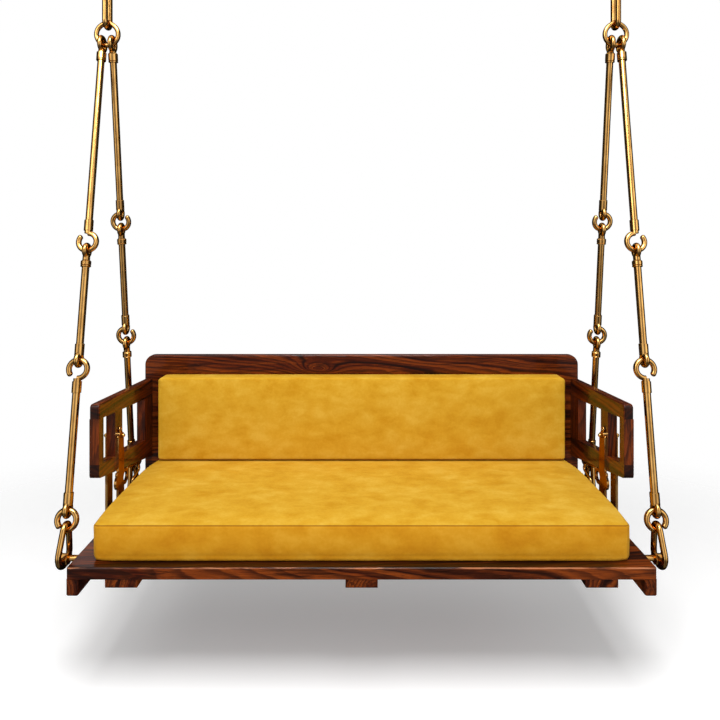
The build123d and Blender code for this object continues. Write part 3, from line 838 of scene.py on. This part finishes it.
def round_block(points, half, radius, corner, thin):
    """Round a box's edges, then its corners as seen along its thin axis."""
    inner = np.clip(points, -(half - radius), half - radius)
    out = points - inner
    length = np.linalg.norm(out, axis=1, keepdims=True)
    rounded = inner + radius * out / np.maximum(length, TINY)
    rounded = np.where(length > TINY, rounded, points)
    wide = [axis for axis in range(3) if axis != thin]
    share = np.abs(rounded[:, wide]) - (half[wide] - corner)
    share = np.clip(share / corner, 0, 1)
    in_corner = np.all(share > 0, axis=1)
    for k, axis in enumerate(wide):
        other = share[:, 1 - k]
        bent = (half[axis] - corner) + corner * share[:, k] * np.sqrt(1 - other**2 / 2)
        rounded[in_corner, axis] = np.sign(rounded[in_corner, axis]) * bent[in_corner]
    return rounded


def seam_points(cells, counts, seams):
    """Which grid points lie on a seam.

    A seam has a first and a last cell for each axis, and negative ones count from the end.
    """
    on_seam = np.zeros(len(cells), bool)
    for seam in seams:
        here = np.ones(len(cells), bool)
        for axis, ends in enumerate(seam):
            first, last = (k if k >= 0 else counts[axis] + 1 + k for k in ends)
            here &= (cells[:, axis] >= first) & (cells[:, axis] <= last)
        on_seam |= here
    return on_seam


def frame_seams(thin, thin_cell):
    """Four seams round one face of a cushion, along its sides."""
    wide = [axis for axis in range(3) if axis != thin]
    seams = []
    for axis, other in (wide, wide[::-1]):
        for cell in (0, -1):
            seam = [None, None, None]
            seam[thin] = (thin_cell, thin_cell)
            seam[axis] = (cell, cell)
            seam[other] = (0, -1)
            seams.append(seam)
    return seams


def inflate(piece, held, cap):
    """Blow the cover up with the Cloth solver, holding some points, and cap each point's move."""
    group = piece.vertex_groups.new(name="held")
    group.add([int(k) for k in np.flatnonzero(held)], 1.0, "REPLACE")
    before = coordinates(piece)
    activate(piece)
    solver = piece.modifiers.new("Filling", "CLOTH")
    cover = solver.settings
    cover.quality = 6
    cover.mass = 0.35
    cover.tension_stiffness = 18
    cover.compression_stiffness = 18
    cover.shear_stiffness = 12
    cover.bending_stiffness = 1.5
    cover.vertex_group_mass = "held"
    cover.use_pressure = True
    cover.uniform_pressure_force = FILL_PRESSURE
    cover.effector_weights.gravity = 0
    solver.point_cache.frame_end = FILL_FRAMES
    for frame_number in range(1, FILL_FRAMES + 1):
        bpy.context.scene.frame_set(frame_number)
    bpy.ops.object.modifier_apply(modifier=solver.name)
    bpy.context.scene.frame_set(1)
    piece.vertex_groups.clear()
    move = coordinates(piece) - before
    length = np.linalg.norm(move, axis=1, keepdims=True)
    capped = cap * np.tanh(length / cap)
    set_coordinates(piece, before + move * capped / np.maximum(length, TINY))


def sew(piece, strength, sizes):
    """Sink the seams, ripple the cloth beside them, and mark them for the finish's painted shade.
    """
    points = coordinates(piece)
    normals = vertex_vectors(piece, "normal")
    stitched = points[strength > 0]
    distance = np.empty(len(points))
    for start in range(0, len(points), BLOCK):
        gaps = points[start : start + BLOCK, None, :] - stitched[None, :, :]
        distance[start : start + BLOCK] = np.sqrt((gaps**2).sum(axis=2).min(axis=1))
    run = points.sum(axis=1)
    beat = np.sin(run * LONG_WAVE + points[:, 2] * UPWARD_WAVE)
    ripple = np.sin(run * SHORT_WAVE) * beat + 0.5 * np.sin(run * MIDDLE_WAVE + 1.3)
    fade = np.exp(-distance / RIPPLE_END) * (1 - np.exp(-distance / RIPPLE_START))
    shift = ripple * fade * sizes.pucker - strength * sizes.seam_depth
    set_coordinates(piece, points + normals * shift[:, None])
    mark = piece.data.attributes.new("seam", "FLOAT", "POINT")
    mark.data.foreach_set("value", strength.astype(np.float32))


def make_cushion(name, low, high, thin, rolled, seams, faint_seams, keep_clear):
    """A boxed cushion between two corners, sewn along its seams and filled.

    Its edges are rolled on the side where the thin axis has the sign of rolled, and it
    rests on that side. The function keep_clear holds it off what it touches.
    """
    sizes = bpy.context.scene.swing_cushions
    low = np.array(low)
    high = np.array(high)
    centre = (low + high) / 2
    half = (high - low) / 2
    spacing = CELL
    lines = [stations(half[axis], sizes.roll_radius, spacing) for axis in range(3)]
    piece = gridded_box(name, lines)
    unit = coordinates(piece)
    counts = [len(places) - 1 for places in lines]
    cells = [np.rint((unit[:, k] + 1) / 2 * counts[k]).astype(int) for k in range(3)]
    cells = np.stack(cells, axis=1)
    points = np.stack([np.array(lines[k])[cells[:, k]] for k in range(3)], axis=1)
    radii = edge_radii(points, half, thin, rolled, sizes)
    set_coordinates(piece, round_block(points, half, radii, sizes.corner_radius, thin))
    sewn = seam_points(cells, counts, seams)
    faint = seam_points(cells, counts, faint_seams)
    resting = cells[:, thin] == (counts[thin] if rolled > 0 else 0)
    strength = np.maximum(np.where(sewn, 1.0, 0.0), np.where(faint, FAINT_SEAM, 0.0))
    inflate(piece, sewn | faint | resting, sizes.crown)
    sew(piece, strength, sizes)
    set_coordinates(piece, keep_clear(coordinates(piece) + centre))
    activate(piece)
    smoothing = piece.modifiers.new("Smoothing", "SUBSURF")
    smoothing.levels = 1
    bpy.ops.object.modifier_apply(modifier=smoothing.name)
    return piece


# ------------------------------------------------------------------ operators
# Directions of the grain: along the plank, along its depth, upright and along an arm's rails.
ALONG = (1, 0, 0)
DEEP = (0, 1, 0)
UPRIGHT = (0, 0, 1)
SLANT = (0, 1, -0.10)
ARM_PIECES = ("top_rail", "bottom_rail", "front_stile", "centre_stile", "rear_stile")
# The knot in the back panel: its place along the panel, and its height above the plank.
KNOT_X = -0.150
KNOT_HEIGHT = 0.392


class SWING_OT_wood(bpy.types.Operator):
    """Dress the plank, rails, battens, back panel and armrests in lacquered wood"""

    bl_idname = "swing.wood"
    bl_label = "Wood"

    def execute(self, context):
        # Every piece is cut at its own place beside the pith, so that no two look the same.
        plank_pith = (0.3, 0.28, 1.745)
        # The plank's top gets painted shade in its middle and a painted highlight along its front
        # edge.
        plank = wood_material("plank rosewood", ALONG, plank_pith, light=0.7, painted_top_shade_and_rim=0.8)
        dress("seat_plank", plank)
        knot = (KNOT_X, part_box("back_panel")[0].y, PLANK_TOP + KNOT_HEIGHT)
        panel_pith = (1.1, -0.12, 1.42)
        curly = {"figure": 1.3, "knot": knot, "rise": 9.0}
        dress("back_panel", wood_material("panel rosewood", ALONG, panel_pith, **curly))
        for k, name in enumerate(("batten_left", "batten_middle", "batten_right")):
            pith = (0.7 * k, 0.05, 1.78 - 0.01 * k)
            title = name.replace("_", " ")
            dress(name, wood_material(title, DEEP, pith, light=0.8, end_shade=0.2))
        for name, side in SIDES.items():
            pith = (2.2 + side, 0.09, 1.76)
            rail = wood_material(f"end rail {name}", DEEP, pith, end_shade=0.3)
            dress(f"end_rail_{name}", rail)
            self.dress_arm(name, side)
        return {"FINISHED"}

    def dress_arm(self, name, side):
        """Each arm piece gets its own cut of wood, with the grain along it."""
        for k, title in enumerate(ARM_PIECES):
            grain = Vector(SLANT if "rail" in title else UPRIGHT).normalized()
            pith = (0.4 * k + side, 0.06 + 0.013 * k, 0.74 * side + 0.02 * k)
            label = f"arm {title.replace('_', ' ')} {name}"
            dress(f"arm_{title}_{name}", wood_material(label, grain, pith, figure=0.6, light=0.4))


class SWING_OT_brass(bpy.types.Operator):
    """Dress the ceiling fittings, rods, rings, studs, brackets and screws in old brass"""

    bl_idname = "swing.brass"
    bl_label = "Brass"

    def execute(self, context):
        finishes = {
            "hanger_brass": brass_material("hanger brass", 0.55),
            "ceiling_brass": brass_material("ceiling brass", 0.70),
            "bracket_brass": brass_material("bracket brass", 0.40),
            "screws": brass_material("screw brass", 0.30),
        }
        for part in frame["record"]["subparts"]:
            if part["material_slot"] in finishes:
                dress(part["node"], finishes[part["material_slot"]])
        return {"FINISHED"}


class SWING_OT_seat_cushion(bpy.types.Operator):
    """Sew and fill the seat cushion"""

    bl_idname = "swing.seat_cushion"
    bl_label = "Seat cushion"

    def execute(self, context):
        sizes = context.scene.swing_cushions
        low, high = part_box("seat_cushion")
        covered_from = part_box("back_cushion")[0].y
        resting = PLANK_TOP + CLEARANCE

        def keep_clear(points):
            """Bow the ends out, lift the open front, and lie flat on the plank."""
            points[:, 2] = np.maximum(points[:, 2], resting)
            depth = np.clip((points[:, 1] - low.y) / (high.y - low.y), 0, 1)
            ahead = points[:, 1] - covered_from
            tuck = np.clip((ahead + TUCK_START) / TUCK_LENGTH, 0, 1)
            bow = 1 - (1 - np.minimum(depth / BOW_DEPTH, 1)) ** 2 - TUCK_SHARE * tuck**2
            points[:, 0] *= 1 + sizes.side_bow * bow / high.x
            open_top = np.clip(-ahead / LIFT_LENGTH, 0, 1)
            height = np.clip((points[:, 2] - resting) / (high.z - resting), 0, 1)
            points[:, 2] += sizes.front_lift * open_top * height
            under = np.clip((ahead + PRESS_LENGTH) / PRESS_LENGTH, 0, 1)
            ceiling = high.z + HEADROOM * (1 - under) - CLEARANCE * under
            points[:, 2] = np.minimum(points[:, 2], ceiling)
            points[:, 1] = np.minimum(points[:, 1], high.y)
            return points

        # The seams sink and get painted shade; the faint ones get very little.
        top_seam = frame_seams(2, -1)
        faint = frame_seams(2, EDGE_STEPS)
        for cell in (EDGE_STEPS, -1 - EDGE_STEPS):
            faint.append(((cell, cell), (0, 0), (EDGE_STEPS, -1)))
        piece = make_cushion("seat_cushion_cover", low, high, 2, -1, top_seam, faint, keep_clear)
        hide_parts("seat_cushion")
        # The seat cushion's front panel gets painted shade.
        suede = suede_material("seat suede", (0, 0, 0), front_painted_shade=1.0)
        finish_piece(piece, "seat", suede)
        return {"FINISHED"}


class SWING_OT_back_cushion(bpy.types.Operator):
    """Sew and fill the back cushion"""

    bl_idname = "swing.back_cushion"
    bl_label = "Back cushion"

    def execute(self, context):
        low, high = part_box("back_cushion")

        def keep_clear(points):
            """Lean on the panel and stand on the seat cushion."""
            points[:, 1] = np.minimum(points[:, 1], high.y)
            points[:, 2] = np.maximum(points[:, 2], low.z)
            return points

        faint = frame_seams(1, 0) + frame_seams(1, -1)
        # The front of the cushion's foot is sunk like a seam and darkened: painted shade where it
        # stands on the seat cushion.
        foot = [((0, -1), (0, 1), (0, 1))]
        piece = make_cushion("back_cushion_cover", low, high, 1, 1, foot, faint, keep_clear)
        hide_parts("back_cushion")
        suede = suede_material("back suede", (3.1, 1.7, 0.4))
        finish_piece(piece, "seat", suede)
        return {"FINISHED"}


# The floor's size in metres, its share of fading across X, and how much farther out than
# where it starts to fade it is gone.
FLOOR_SIZE = 60
FADE_ACROSS = 0.8
FADE_END = 2.2

# Where the soft panels that polished surfaces reflect are: shares of a direction's X, Y and Z
# at a panel's edge and where it is at its full brightness.
SIDE_PANELS = (0.22, 0.52)
SIDE_PANELS_FRONT = (-0.30, -0.72)
FRONT_LEVEL = 0.03
OVERHEAD_PANEL = (0.60, 0.95)
REAR_PANEL_BACK = (0.70, 0.85)
REAR_PANEL_LEFT = (-0.33, -0.41)
REAR_PANEL_UP = (0.28, 0.36)
REAR_LEVEL = 0.75
BELOW = (-0.5, -0.05)
BELOW_LEVEL = 0.15

# Each light's place and size in metres, and the setting of its power. All aim at a point
# this far above the plank.
LIGHTS = {
    "key light": ((-1.5, -2.6, 0.9), 1.6, "key_power"),
    "fill light": ((2.8, -2.0, -0.2), 2.0, "fill_power"),
    "top light": ((0, -2.1, 1.8), 1.6, "top_power"),
}
AIM_HEIGHT = 0.2

# The camera looks level, and its picture is shifted to where the seat hangs.
CAMERA_SHIFT_X = -0.0022
CAMERA_SHIFT_Y = -0.160


class SWING_OT_stage(bpy.types.Operator):
    """Set up the floor, the soft light and the camera"""

    bl_idname = "swing.stage"
    bl_label = "Stage"

    def execute(self, context):
        stage = context.scene.swing_stage
        self.add_floor(stage)
        self.add_sky(context.scene, stage)
        self.add_lights(stage)
        self.add_camera(context.scene, stage)
        context.scene.view_settings.view_transform = "Standard"
        return {"FINISHED"}

    def add_floor(self, stage):
        """A white floor that fades out, and that polished surfaces don't reflect."""
        deselect()
        place = (0, 0, PLANK_TOP - stage.floor_drop)
        bpy.ops.mesh.primitive_plane_add(size=FLOOR_SIZE, location=place)
        floor = bpy.context.object
        floor.name = "floor"
        made, tree, shader = new_material("white floor")
        shader["Base Color"].default_value = (0.95, 0.95, 0.95, 1.0)
        shader["Roughness"].default_value = 0.9
        shader["Specular IOR Level"].default_value = 0.05
        lift = calc(tree, "MULTIPLY", seen_directly(tree), stage.floor_lift)
        glow = add_node(tree, "Emission", {"Color": (1, 1, 1, 1), "Strength": lift})
        lifted = add_node(tree, "AddShader")
        tree.links.new(tree.nodes["Principled BSDF"].outputs[0], lifted.inputs[0])
        tree.links.new(glow.outputs[0], lifted.inputs[1])

        spot = add_node(tree, "TexCoord").outputs["Object"]
        away = calc_vector(tree, "MULTIPLY", spot, (FADE_ACROSS, 1, 0))
        away = calc_vector(tree, "LENGTH", away)
        gone = spread(tree, away, stage.floor_fade, stage.floor_fade * FADE_END)
        mirrored = add_node(tree, "LightPath").outputs["Is Glossy Ray"]
        gone = calc(tree, "MAXIMUM", gone, mirrored)
        faded = add_node(tree, "MixShader", {"Fac": gone})
        clear = add_node(tree, "BsdfTransparent")
        tree.links.new(lifted.outputs[0], faded.inputs[1])
        tree.links.new(clear.outputs[0], faded.inputs[2])
        tree.links.new(faded.outputs[0], tree.nodes["Material Output"].inputs["Surface"])
        floor.data.materials.append(made)

    def add_sky(self, scene, stage):
        """White all round; polished surfaces see it as tall soft panels between darker gaps."""
        world = bpy.data.worlds.new("white studio")
        scene.world = world
        world.use_nodes = True
        tree = world.node_tree
        background = tree.nodes["Background"]
        background.inputs["Color"].default_value = (1, 1, 1, 1)
        way = add_node(tree, "TexCoord").outputs["Generated"]
        up = part_of(tree, way, "Z")
        level_way = calc_vector(tree, "MULTIPLY", way, (1, 1, 0))
        level_way = calc_vector(tree, "NORMALIZE", level_way)
        sideways = part_of(tree, level_way, "X")
        back = part_of(tree, level_way, "Y")

        aside = calc(tree, "ABSOLUTE", sideways)
        panels = spread(tree, aside, *SIDE_PANELS, stage.panel_gap, stage.panel_level)
        not_front = spread(tree, back, *SIDE_PANELS_FRONT, FRONT_LEVEL, 1.0)
        panels = calc(tree, "MULTIPLY", panels, not_front)
        overhead = spread(tree, up, *OVERHEAD_PANEL, 0.0, stage.panel_level)
        panels = calc(tree, "MAXIMUM", panels, overhead)
        rear = spread(tree, back, *REAR_PANEL_BACK)
        rear = calc(tree, "MULTIPLY", rear, spread(tree, sideways, *REAR_PANEL_LEFT))
        rear_up = spread(tree, up, *REAR_PANEL_UP, 0.0, REAR_LEVEL)
        rear = calc(tree, "MULTIPLY", rear, rear_up)
        panels = calc(tree, "MAXIMUM", panels, rear)
        panels = calc(tree, "MULTIPLY", panels, spread(tree, up, *BELOW, BELOW_LEVEL, 1.0))

        mirrored = add_node(tree, "LightPath").outputs["Is Glossy Ray"]
        level = spread(tree, seen_directly(tree), 0.0, 1.0, stage.sky_level, 1.0)
        level = spread(tree, mirrored, 0.0, 1.0, level, panels)
        feed(tree, background.inputs["Strength"], level)

    def add_lights(self, stage):
        for name, (place, size, power) in LIGHTS.items():
            deselect()
            bpy.ops.object.light_add(type="AREA", location=place)
            light = bpy.context.object
            light.name = name
            light.data.size = size
            light.data.energy = getattr(stage, power)
            aim = Vector((0, 0, PLANK_TOP + AIM_HEIGHT)) - Vector(place)
            light.rotation_euler = aim.to_track_quat("-Z", "Y").to_euler()

    def add_camera(self, scene, stage):
        place = (0, PLANK_LOW.y - stage.camera_distance, PLANK_TOP + stage.camera_height)
        deselect()
        bpy.ops.object.camera_add(location=place, rotation=(math.pi / 2, 0, 0))
        camera = bpy.context.object
        camera.data.lens = stage.lens
        camera.data.shift_x = CAMERA_SHIFT_X
        camera.data.shift_y = CAMERA_SHIFT_Y
        scene.camera = camera


class SWING_PT_looks(bpy.types.Panel):
    """Lists the pieces that can be made"""

    bl_idname = "SWING_PT_looks"
    bl_label = "Swing Seat"
    bl_space_type = "VIEW_3D"
    bl_region_type = "UI"
    bl_category = "Swing"

    def draw(self, context):
        for operator in OPERATORS:
            self.layout.operator(operator.bl_idname)
        for setting in SETTINGS:
            group = getattr(context.scene, setting)
            box = self.layout.box()
            for name in group.__annotations__:
                box.prop(group, name)


SETTINGS = {
    "swing_finishes": SwingFinishes,
    "swing_cushions": SwingCushions,
    "swing_stage": SwingStage,
}
OPERATORS = (
    SWING_OT_wood,
    SWING_OT_brass,
    SWING_OT_seat_cushion,
    SWING_OT_back_cushion,
    SWING_OT_stage,
)


def register():
    for group in SETTINGS.values():
        bpy.utils.register_class(group)
    for name, group in SETTINGS.items():
        setattr(bpy.types.Scene, name, bpy.props.PointerProperty(type=group))
    for operator in OPERATORS:
        bpy.utils.register_class(operator)
    bpy.utils.register_class(SWING_PT_looks)


def unregister():
    bpy.utils.unregister_class(SWING_PT_looks)
    for operator in reversed(OPERATORS):
        bpy.utils.unregister_class(operator)
    for name, group in SETTINGS.items():
        delattr(bpy.types.Scene, name)
        bpy.utils.unregister_class(group)


def main():
    register()
    bpy.ops.swing.wood()
    bpy.ops.swing.brass()
    bpy.ops.swing.seat_cushion()
    bpy.ops.swing.back_cushion()
    bpy.ops.swing.stage()


if __name__ == "__main__":
    main()
